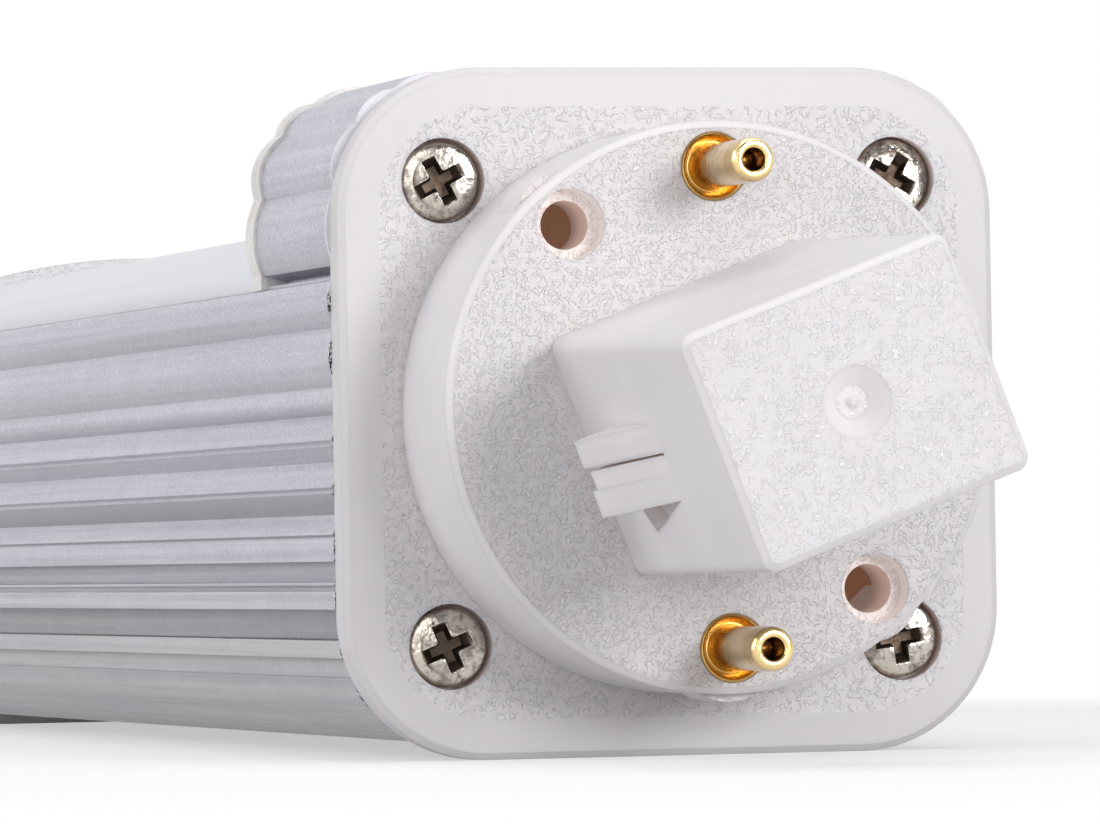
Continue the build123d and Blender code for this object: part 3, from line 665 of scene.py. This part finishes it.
def applyModifier(piece, kind, **settings):
    bpy.ops.object.select_all(action="DESELECT")
    piece.select_set(True)
    bpy.context.view_layer.objects.active = piece
    modifier = piece.modifiers.new("shaping", kind)
    for setting, value in settings.items():
        setattr(modifier, setting, value)
    bpy.ops.object.modifier_apply(modifier="shaping")


# Contact pins, turned from brass tube and gold plated

pins = {
    "places": {"contact_pin_upper": (-0.28, 12.0), "contact_pin_lower": (0.28, -12.0)},
    # painted shade: the collar and the deeper bands of the shank are browner copies of the gold
    "collar": (0.72, 0.50, 0.19),
    "shank": (0.72, 0.54, 0.29),
    "deeper": (0.56, 0.36, 0.13),
    # painted highlight: the lip ring is a lighter copy of the gold
    "ring": (0.93, 0.71, 0.34),
    # for the tarnish smudges and for the painted shade inside the bores
    "tarnishAndShade": (0.20, 0.12, 0.055),
    "ringAt": (-0.00668, -0.00645),
    "collarAt": (-0.0001, 0.0001),
    "boreRadius": (0.00050, 0.00058),
    "boreFrom": (-0.00655, -0.0060),
    # radius and distance out of the seat
    "rows": ((0.86, -5.3), (1.06, -5.28), (1.1, -5.2), (1.1, -1.3), (1.13, -1.25), (1.64, -1.25),
             (1.69, -1.22), (1.7, -1.15), (1.7, -0.1), (1.69, -0.05), (1.65, -0.01), (1.62, 0.0),
             (1.57, -0.02), (1.49, -0.14), (1.4, -0.33), (1.33, -0.48), (1.27, -0.55), (1.21, -0.53),
             (1.15, -0.4), (1.11, -0.22), (1.1, 0.0), (1.1, 3.2), (1.1, 6.3), (1.092, 6.4),
             (1.06, 6.5), (1.01, 6.58), (0.97, 6.64), (0.93, 6.68), (0.87, 6.7), (0.7, 6.7),
             (0.63, 6.685), (0.58, 6.64), (0.555, 6.57), (0.55, 6.4), (0.55, 4.4), (0.3, 4.2),
             (0.02, 4.15)),
}


def goldPaint():
    paint = Paint("goldPlating", Metallic=1.0)
    grain = paint.noise(2600.0, 3.0, 0.6)
    rings = paint.joined(paint.x * 0.02, paint.y, paint.z * 0.02)
    turned = paint.noise(6500.0, 2.0, 0.6, at=rings)
    body = paint.mixed(grain.above(0.35, 0.65), [c * 0.93 for c in pins["shank"]], pins["shank"])
    # painted shade: the shank next to the collar and before the ring
    deeper = paint.y.above(-0.0034, -0.0008).either(paint.y.between(-0.0062, -0.0053, 0.0005))
    body = paint.mixed(deeper * 0.75, body, pins["deeper"])
    # painted highlight: the lip ring is a lighter copy of the gold
    atRing = paint.y.below(*pins["ringAt"])
    body = paint.mixed(atRing, body, pins["ring"])
    # painted shade: the collar is a browner copy of the gold
    atCollar = paint.y.above(*pins["collarAt"])
    body = paint.mixed(atCollar, body, pins["collar"])
    # painted shade: the inside of the bore is painted near black-brown
    dark = nearest(paint, pins["places"].values()).below(*pins["boreRadius"])
    dark = dark * paint.y.above(*pins["boreFrom"])
    body = paint.mixed(dark * 0.95, body, pins["tarnishAndShade"])
    smudgeAndReflection = paint.noise(900.0, 4.0, 0.6).above(0.56, 0.7)
    body = paint.mixed(smudgeAndReflection * 0.25, body, pins["tarnishAndShade"])
    paint.feed("Base Color", body)
    paint.feed("Roughness", grain * 0.1 + smudgeAndReflection * 0.12 + atCollar * 0.08 + 0.13)
    dents = paint.noise(1500.0, 2.0, 0.5)
    paint.relief((grain + turned) * 0.000008 + dents * (1.0 - atCollar) * 0.00003, 1.0)
    return paint


gold = goldPaint()
for name, axis in pins["places"].items():
    pin = turnedPiece(name.replace("contact_pin", "turnedPin"), pins["rows"], axis)
    smoothed(pin)
    setPaint(gold, pin.name)
    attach(pin, "root")
    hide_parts(name)
print("contact pins turned")


# Cross-recess screws

screws = {
    # dark nickel, for the grain and for painted dark reflections
    "shade": (0.15, 0.13, 0.125),
    "nickel": (0.60, 0.55, 0.48),
    # painted highlights on the screws' edges
    "paintedGlint": (0.90, 0.87, 0.80),
    # painted shade deep in the cross recess
    "recess": (0.06, 0.036, 0.022),
    "headTop": 1.234,
    "arm": 0.84,
    "span": 2.95,
    "recessDepth": 0.86,
    "floorShare": 0.55,
    "threadPitch": 1.05,
    "threadTurns": 7,
    # x and z in mm, the turn and the lean in degrees; the end screws face the other way
    "base": ((-11.95, 11.75, 28, (1, -6)), (11.95, 11.75, 60, (-6, 0)),
             (-11.95, -11.75, 23, (2, -5)), (11.95, -11.75, 9, (1, -4))),
    "baseSeat": 9.93,
    "end": ((-11.95, -11.75, 12, (1, 2)), (11.95, -11.75, 51, (-1, 1))),
    "endSeat": 129.37,
    "rows": ((0.1, -9.0), (0.5, -8.7), (0.98, -8.0), (0.98, -0.3), (1.02, -0.05), (1.1, 0.0),
             (1.86, 0.0), (1.95, 0.03), (1.98, 0.1), (1.98, 0.82), (1.975, 0.91), (1.95, 0.98),
             (1.89, 1.035), (1.8, 1.07), (1.66, 1.10), (1.45, 1.135), (1.2, 1.17), (0.9, 1.20),
             (0.5, 1.225), (0.1, 1.234)),
    "threadReach": 1.05,
    "threadSize": 0.2,
    "threadFrom": 0.9,
    "crossCorner": 0.16,
    "edgeBevel": 0.03,
    "crossReach": (0.00146, 0.00152),
    "crossSink": 0.14,
}


def crossCutter():
    arm, span = screws["arm"] * mm, screws["span"] * mm
    top = -(screws["headTop"] + 0.2) * mm
    floor = (screws["recessDepth"] - screws["headTop"]) * mm
    bpy.ops.object.select_all(action="DESELECT")
    bpy.ops.mesh.primitive_cube_add(size=1, scale=(arm, floor - top, arm),
                                    location=(0, (floor + top) / 2, 0))
    cutter = bpy.context.object
    bpy.ops.object.transform_apply()
    bpy.ops.object.mode_set(mode="EDIT")
    reach = (span - arm) / 2
    for way in ((1, 0, 0), (-1, 0, 0), (0, 0, 1), (0, 0, -1)):
        ahead, side = Vector(way), Vector((way[2], 0, way[0]))
        pickFaces(cutter, lambda centre, normal: (normal.dot(ahead) > 0.9
                                                  and abs(centre.dot(side)) < arm / 4))
        bpy.ops.mesh.extrude_region_move(TRANSFORM_OT_translate={"value": ahead * reach})
    half = arm / 2
    near = 1e-6

    def inCorner(a, b):  # an edge along Y where two arms meet
        upright = abs(a.x - b.x) < near and abs(a.z - b.z) < near
        return upright and abs(abs(a.x) - half) < near and abs(abs(a.z) - half) < near

    pickEdges(cutter, inCorner)
    bpy.ops.mesh.bevel(offset=screws["crossCorner"] * mm, segments=4)
    pickFaces(cutter, lambda centre, normal: normal.y > 0.9)
    share = screws["floorShare"]
    bpy.ops.transform.resize(value=(share, 1, share), center_override=(0, floor, 0))
    bpy.ops.object.mode_set(mode="OBJECT")
    return cutter


def screwThread():
    # a narrow triangle wound round the shank
    bpy.ops.object.select_all(action="DESELECT")
    turns, pitch = screws["threadTurns"], screws["threadPitch"] * mm
    place = (screws["threadReach"] * mm, screws["threadFrom"] * mm, 0)
    bpy.ops.mesh.primitive_circle_add(vertices=3, radius=screws["threadSize"] * mm, location=place,
                                      rotation=(0, 0, -math.pi / 2))
    thread = bpy.context.object
    bpy.ops.object.transform_apply()
    applyModifier(thread, "SCREW", axis="Y", steps=32, render_steps=32, iterations=turns,
                  screw_offset=pitch, use_merge_vertices=False)
    bpy.ops.object.mode_set(mode="EDIT")
    bpy.ops.mesh.select_all(action="SELECT")
    bpy.ops.mesh.fill_holes(sides=0)
    bpy.ops.mesh.normals_make_consistent(inside=False)
    bpy.ops.object.mode_set(mode="OBJECT")
    return thread


def crossHeadScrew():
    screw = turnedPiece("crossHeadScrew", screws["rows"], sides=72)
    cutter = crossCutter()
    applyModifier(screw, "BOOLEAN", object=cutter, operation="DIFFERENCE", solver="EXACT")
    bpy.data.objects.remove(cutter)
    applyModifier(screw, "BEVEL", width=screws["edgeBevel"] * mm, segments=2, limit_method="ANGLE",
                  angle_limit=math.radians(48), harden_normals=False)
    thread = screwThread()
    bpy.ops.object.select_all(action="DESELECT")
    thread.select_set(True)
    screw.select_set(True)
    bpy.context.view_layer.objects.active = screw
    bpy.ops.object.join()
    smoothed(screw, 30)
    return screw


def nickelPaint():
    paint = Paint("nickelPlating", Metallic=1.0)
    grain = paint.noise(2400.0, 3.0, 0.6)
    # painted reflections: large dark patches on the heads, as of a dark room
    smudgeAndReflection = paint.noise(700.0, 4.0, 0.6).above(0.5, 0.68)
    body = paint.mixed(grain.above(0.25, 0.55), screws["shade"], screws["nickel"])
    body = paint.mixed(smudgeAndReflection * 0.85, body, screws["shade"])
    # painted highlights on the screws' edges
    body = paint.mixed(paint.edges(0.00008) * 0.6, body, screws["paintedGlint"])
    deepHere = (screws["baseSeat"] - screws["headTop"] + screws["crossSink"]) * mm
    deepFar = (screws["endSeat"] + screws["headTop"] - screws["crossSink"]) * mm
    place = nearest(paint, [(x, z) for x, z, turn, lean in screws["base"]])
    inCross = place.below(*screws["crossReach"])
    sunk = paint.y.above(deepHere, deepHere + 0.0001) * paint.y.below(0.05, 0.06)
    sunk = sunk.either(paint.y.below(deepFar - 0.0001, deepFar) * paint.y.above(0.05, 0.06)) * inCross
    # painted shade deep in the cross recess
    body = paint.mixed(sunk * 0.92, body, screws["recess"])
    paint.feed("Base Color", body)
    paint.feed("Roughness", grain * 0.14 + smudgeAndReflection * 0.12 + sunk * 0.25 + 0.14)
    dents = paint.noise(1100.0, 3.0, 0.55)
    paint.relief(grain * 0.000015 + dents * 0.00009, 1.0, 0.00005)
    return paint


nickel = nickelPaint()
pattern = crossHeadScrew()
setPaint(nickel, pattern.name)


def placeScrew(name, x, z, turn, lean, seat, outward, node):
    screw = bpy.data.objects.new(name, pattern.data.copy())
    bpy.context.scene.collection.objects.link(screw)
    half = Matrix.Rotation(0.0 if outward else math.pi, 4, "Z")
    spin = Matrix.Rotation(-math.radians(turn), 4, "Y")
    tilt = Matrix.Rotation(math.radians(lean[0]), 4, "X")
    tilt = tilt @ Matrix.Rotation(math.radians(lean[1]), 4, "Z")
    screw.matrix_world = Matrix.Translation(Vector((x, seat, z)) * mm) @ half @ tilt @ spin
    bpy.ops.object.select_all(action="DESELECT")
    screw.select_set(True)
    bpy.context.view_layer.objects.active = screw
    bpy.ops.object.transform_apply()
    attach(screw, "root")
    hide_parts(node)


for i, place in enumerate(screws["base"], 1):
    placeScrew(f"baseScrew{i}", *place, screws["baseSeat"], True, "base_screws")
for i, place in enumerate(screws["end"], 1):
    placeScrew(f"endScrew{i}", *place, screws["endSeat"], False, "end_screws")
bpy.data.objects.remove(pattern)
print("screws made")


# The light board and its chips

lightBoard = {
    "mask": (0.84, 0.85, 0.84),
    "trace": (0.79, 0.80, 0.77),
    "core": (0.55, 0.55, 0.57),
    "pad": (0.72, 0.70, 0.66),
    "frame": (0.88, 0.87, 0.84),
    "phosphor": (0.90, 0.66, 0.10),
    "phosphorDark": (0.78, 0.52, 0.06),
    "firstRow": 0.03555,
    "pitch": 0.0077,
    "rowOffset": 0.0055,
}


def chipPlace(paint):  # how far from the nearest chip's middle, across and along
    along = ((paint.y - lightBoard["firstRow"]) / lightBoard["pitch"] + 0.5).math("FRACT") - 0.5
    across = paint.x.math("ABSOLUTE") - lightBoard["rowOffset"]
    return across.math("ABSOLUTE"), (along * lightBoard["pitch"]).math("ABSOLUTE")


def lightBoardPaint():
    paint = Paint("lightBoard", Coat_Weight=0.3, Coat_Roughness=0.3)
    grain = paint.noise(3000.0, 3.0, 0.6)
    cloud = paint.noise(180.0, 3.0, 0.5)
    across, along = chipPlace(paint)
    trace = across.below(0.0011, 0.0012) * (1.0 - across.below(0.0003, 0.0004))
    pad = across.below(0.0013, 0.00138) * along.between(0.0013, 0.0021, 0.00006)
    upward = paint.facing()[2].above(0.5, 0.9)
    body = paint.mixed((grain * 0.4 + cloud * 0.6).above(0.3, 0.7), lightBoard["trace"], lightBoard["mask"])
    body = paint.mixed(trace * 0.5, body, lightBoard["trace"])
    body = paint.mixed(pad * upward, body, lightBoard["pad"])
    body = paint.mixed(upward, lightBoard["core"], body)
    paint.feed("Base Color", body)
    paint.feed("Metallic", (1.0 - upward).either(pad * upward) * 0.9)
    paint.feed("Roughness", grain * 0.15 + 0.3)
    paint.relief((grain * 0.1 + trace + pad) * 0.00003, 1.0)
    return paint


def chipPaint():
    paint = Paint("lightChip", Subsurface_Weight=0.2, Subsurface_Scale=0.0005)
    grain = paint.noise(9000.0, 3.0, 0.6)
    across, along = chipPlace(paint)
    inside = across.below(0.00102, 0.00110) * along.below(0.00137, 0.00145)
    inside = inside * paint.facing()[2].above(0.6, 0.9)
    glow = paint.mixed(grain.above(0.35, 0.65), lightBoard["phosphorDark"], lightBoard["phosphor"])
    frameTone = paint.mixed(grain, lightBoard["frame"], (0.80, 0.79, 0.76))
    paint.feed("Base Color", paint.mixed(inside, frameTone, glow))
    paint.feed("Roughness", 0.42 - inside * 0.2 + grain * 0.1)
    paint.relief((grain * 0.3 - inside) * 0.00004, 1.0, 0.00006)
    return paint


setPaint(lightBoardPaint(), "led_board")
setPaint(chipPaint(), *[name for name in nodes if name.startswith("led_chip")])
print("light board painted")


# The driver inside the extrusion

finishes = {
    # dark, light, worn edge, grain scale, roughness, relief
    "insulatingFilm": ((0.66, 0.56, 0.36), (0.76, 0.66, 0.46), (0.82, 0.75, 0.58), 900.0, 0.30, 0.00004),
    "darkSleeving": ((0.02, 0.02, 0.022), (0.045, 0.045, 0.048), (0.12, 0.12, 0.12), 3000.0, 0.5, 0.00002),
    "blueDip": ((0.03, 0.10, 0.34), (0.05, 0.15, 0.45), (0.12, 0.24, 0.55), 700.0, 0.22, 0.00008),
    "yellowBox": ((0.72, 0.48, 0.06), (0.82, 0.57, 0.09), (0.90, 0.70, 0.22), 1400.0, 0.35, 0.00002),
    "blackEpoxy": ((0.018, 0.018, 0.019), (0.05, 0.05, 0.052), (0.14, 0.14, 0.14), 5000.0, 0.55, 0.00003),
    "ferrite": ((0.04, 0.038, 0.037), (0.085, 0.082, 0.080), (0.20, 0.19, 0.185), 3600.0, 0.6, 0.00004),
    "leadWhite": ((0.76, 0.76, 0.75), (0.84, 0.84, 0.83), (0.9, 0.9, 0.9), 1800.0, 0.4, 0.00003),
    "leadRed": ((0.50, 0.025, 0.02), (0.62, 0.04, 0.03), (0.75, 0.12, 0.1), 1800.0, 0.35, 0.00003),
    "leadBlack": ((0.02, 0.02, 0.02), (0.04, 0.04, 0.042), (0.12, 0.12, 0.12), 1800.0, 0.4, 0.00003),
    "glassFuse": ((0.28, 0.20, 0.12), (0.40, 0.30, 0.19), (0.6, 0.5, 0.38), 1500.0, 0.25, 0.00002),
}
onLegs = ("blueDip", "yellowBox", "blackEpoxy", "glassFuse")  # finishes of pieces with soldered legs
driver = {
    "mask": (0.02, 0.16, 0.06),
    "maskLight": (0.035, 0.24, 0.095),
    "laminate": (0.52, 0.46, 0.24),
    "solder": (0.62, 0.62, 0.64),
    "boardTop": -0.0068,
    "sleeveDark": (0.015, 0.03, 0.06),
    "sleeve": (0.03, 0.05, 0.10),
    "stripe": (0.55, 0.57, 0.60),
    "can": (0.70, 0.70, 0.72),
    "tape": (0.80, 0.60, 0.10),
    "tapeShade": (0.68, 0.48, 0.06),
    "bobbin": (0.05, 0.05, 0.052),
    "copper": (0.62, 0.26, 0.12),
    "inputAxis": (5.65, -2.8),
    "inputEnds": (39.7, 53.7),
    "outputAxis": (5.05, 73.7),
    "outputTop": 1.4,
    "chokeAxis": (7.05, 32.7),
}


def finishPaint(name, mark=None, markColour=None):
    # mark is an expression for where a band or dot of markColour goes
    dark, light, edge, scale, roughness, depth = finishes[name]
    paint = Paint(name)
    grain = paint.noise(scale, 4.0, 0.6)
    cloud = paint.noise(scale * 0.12, 3.0, 0.5)
    body = paint.mixed((grain * 0.5 + cloud * 0.5).above(0.34, 0.66), dark, light)
    body = paint.mixed(paint.edges(0.00012) * 0.6, body, edge)
    if mark:
        body = paint.mixed(mark(paint) * 0.9, body, markColour)
    if name in onLegs:
        legs = paint.z.below(driver["boardTop"] + 0.00035, driver["boardTop"] + 0.0005)
        body = paint.mixed(legs * 0.8, body, driver["solder"])
    paint.feed("Base Color", body)
    paint.feed("Roughness", grain * 0.16 + (roughness - 0.08))
    paint.relief(grain * depth, 1.0, 0.0001)
    return paint


def cathodeBand(paint):
    return paint.y.between(0.0768, 0.0779, 0.00003) * paint.x.below(-0.0062, -0.0061)


def windings(paint):  # the wire seen between the flanges of the choke
    x, y = driver["chokeAxis"]
    away = ((paint.x - x * mm) * (paint.x - x * mm) + (paint.y - y * mm) * (paint.y - y * mm)) ** 0.5
    return away.below(0.0035, 0.0036) * paint.z.between(-0.0058, 0.0002, 0.0001)


def driverBoardPaint():
    paint = Paint("driverBoard", Coat_Weight=0.4, Coat_Roughness=0.2)
    grain = paint.noise(2600.0, 3.0, 0.6)
    weave = (paint.x.repeat(0.0006) - 0.5).math("ABSOLUTE")
    weave = weave + (paint.y.repeat(0.0006) - 0.5).math("ABSOLUTE")
    tracks = paint.cells(210.0, feature="DISTANCE_TO_EDGE").below(0.08, 0.1)
    pads = paint.cells(330.0).below(0.16, 0.19)
    under = paint.facing()[2].below(-0.8, -0.6)
    side = 1.0 - paint.facing()[2].math("ABSOLUTE").above(0.6, 0.8)
    body = paint.mixed(grain.above(0.35, 0.65), driver["mask"], driver["maskLight"])
    body = paint.mixed(tracks * 0.6, body, driver["maskLight"])
    body = paint.mixed(pads * under, body, driver["solder"])
    body = paint.mixed(side, body, driver["laminate"])
    paint.feed("Base Color", body)
    paint.feed("Metallic", pads * under)
    paint.feed("Roughness", grain * 0.15 + 0.25)
    paint.relief((weave * 0.2 + tracks + pads * under * 2.0) * 0.00003, 1.0)
    return paint


def canPaint(name, lying):
    paint = Paint(name)
    grain = paint.noise(2200.0, 3.0, 0.6)
    if lying:
        x, z = driver["inputAxis"]
        across, up = paint.x - x * mm, paint.z - z * mm
        out = (paint.y - driver["inputEnds"][0] * mm).either(driver["inputEnds"][1] * mm - paint.y)
        capped = out.above(0.01385, 0.0139)
    else:
        x, y = driver["outputAxis"]
        across, up = paint.x - x * mm, paint.y - y * mm
        capped = paint.z.above(driver["outputTop"] * mm - 0.00015, driver["outputTop"] * mm - 0.0001)
    away = (across * across + up * up) ** 0.5
    cap = capped * away.below(0.0032, 0.0033)
    vent = across.math("ABSOLUTE").below(0.0001, 0.00016)
    vent = vent.either(up.math("ABSOLUTE").below(0.0001, 0.00016)) * cap
    stripe = up.math("ARCTAN2", across).math("ABSOLUTE").above(2.7, 2.75)
    body = paint.mixed(grain.above(0.35, 0.65), driver["sleeveDark"], driver["sleeve"])
    body = paint.mixed(stripe * 0.9, body, driver["stripe"])
    body = paint.mixed(cap, body, driver["can"])
    # painted shade in the grooves of the vent
    paint.feed("Base Color", paint.mixed(vent * 0.6, body, driver["sleeveDark"]))
    paint.feed("Metallic", cap * 0.9)
    paint.feed("Roughness", grain * 0.12 + 0.24)
    paint.relief((grain * 0.3 - vent * 4.0) * 0.00003, 1.0, 0.0001)
    return paint


def bobbinPaint():
    paint = Paint("woundBobbin")
    grain = paint.noise(2600.0, 3.0, 0.6)
    layers = (paint.y.repeat(0.00032) - 0.5).math("ABSOLUTE")
    wound = paint.y.between(0.0562, 0.0662, 0.00005) * paint.z.above(-0.0052, -0.0051)
    tape = paint.mixed((grain * 0.6 + layers * 0.4).above(0.3, 0.6), driver["tapeShade"], driver["tape"])
    moulded = paint.mixed(grain, driver["bobbin"], [c * 1.8 for c in driver["bobbin"]])
    body = paint.mixed(wound, moulded, tape)
    pinEnds = paint.z.below(driver["boardTop"] + 0.0003, driver["boardTop"] + 0.0004)
    paint.feed("Base Color", paint.mixed(pinEnds, body, driver["solder"]))
    paint.feed("Roughness", 0.5 - wound * 0.2 + grain * 0.1)
    paint.relief((layers * wound + grain * 0.3) * 0.00004, 1.0, 0.0001)
    return paint


setPaint(driverBoardPaint(), "driver_board")
setPaint(finishPaint("insulatingFilm"), "insulating_sleeve")
setPaint(finishPaint("glassFuse"), "fuse")
setPaint(finishPaint("blueDip"), "varistor", "safety_capacitor")
setPaint(finishPaint("yellowBox"), "film_capacitor")
setPaint(finishPaint("blackEpoxy", cathodeBand, driver["stripe"]), "bridge_rectifier", "control_chip",
         "output_diode")
setPaint(finishPaint("ferrite", windings, driver["copper"]), "choke", "transformer_core")
setPaint(canPaint("lyingCan", True), "input_capacitor")
setPaint(canPaint("uprightCan", False), "output_capacitor")
setPaint(bobbinPaint(), "transformer_bobbin")
setPaint(finishPaint("leadWhite"), "mains_lead_upper", "mains_lead_lower")
setPaint(finishPaint("leadRed"), "led_lead_positive")
setPaint(finishPaint("leadBlack"), "led_lead_negative")
print("driver painted")

bare = [name for name, node in nodes.items() if not node.data.materials]
print("nodes without a finish:", bare)
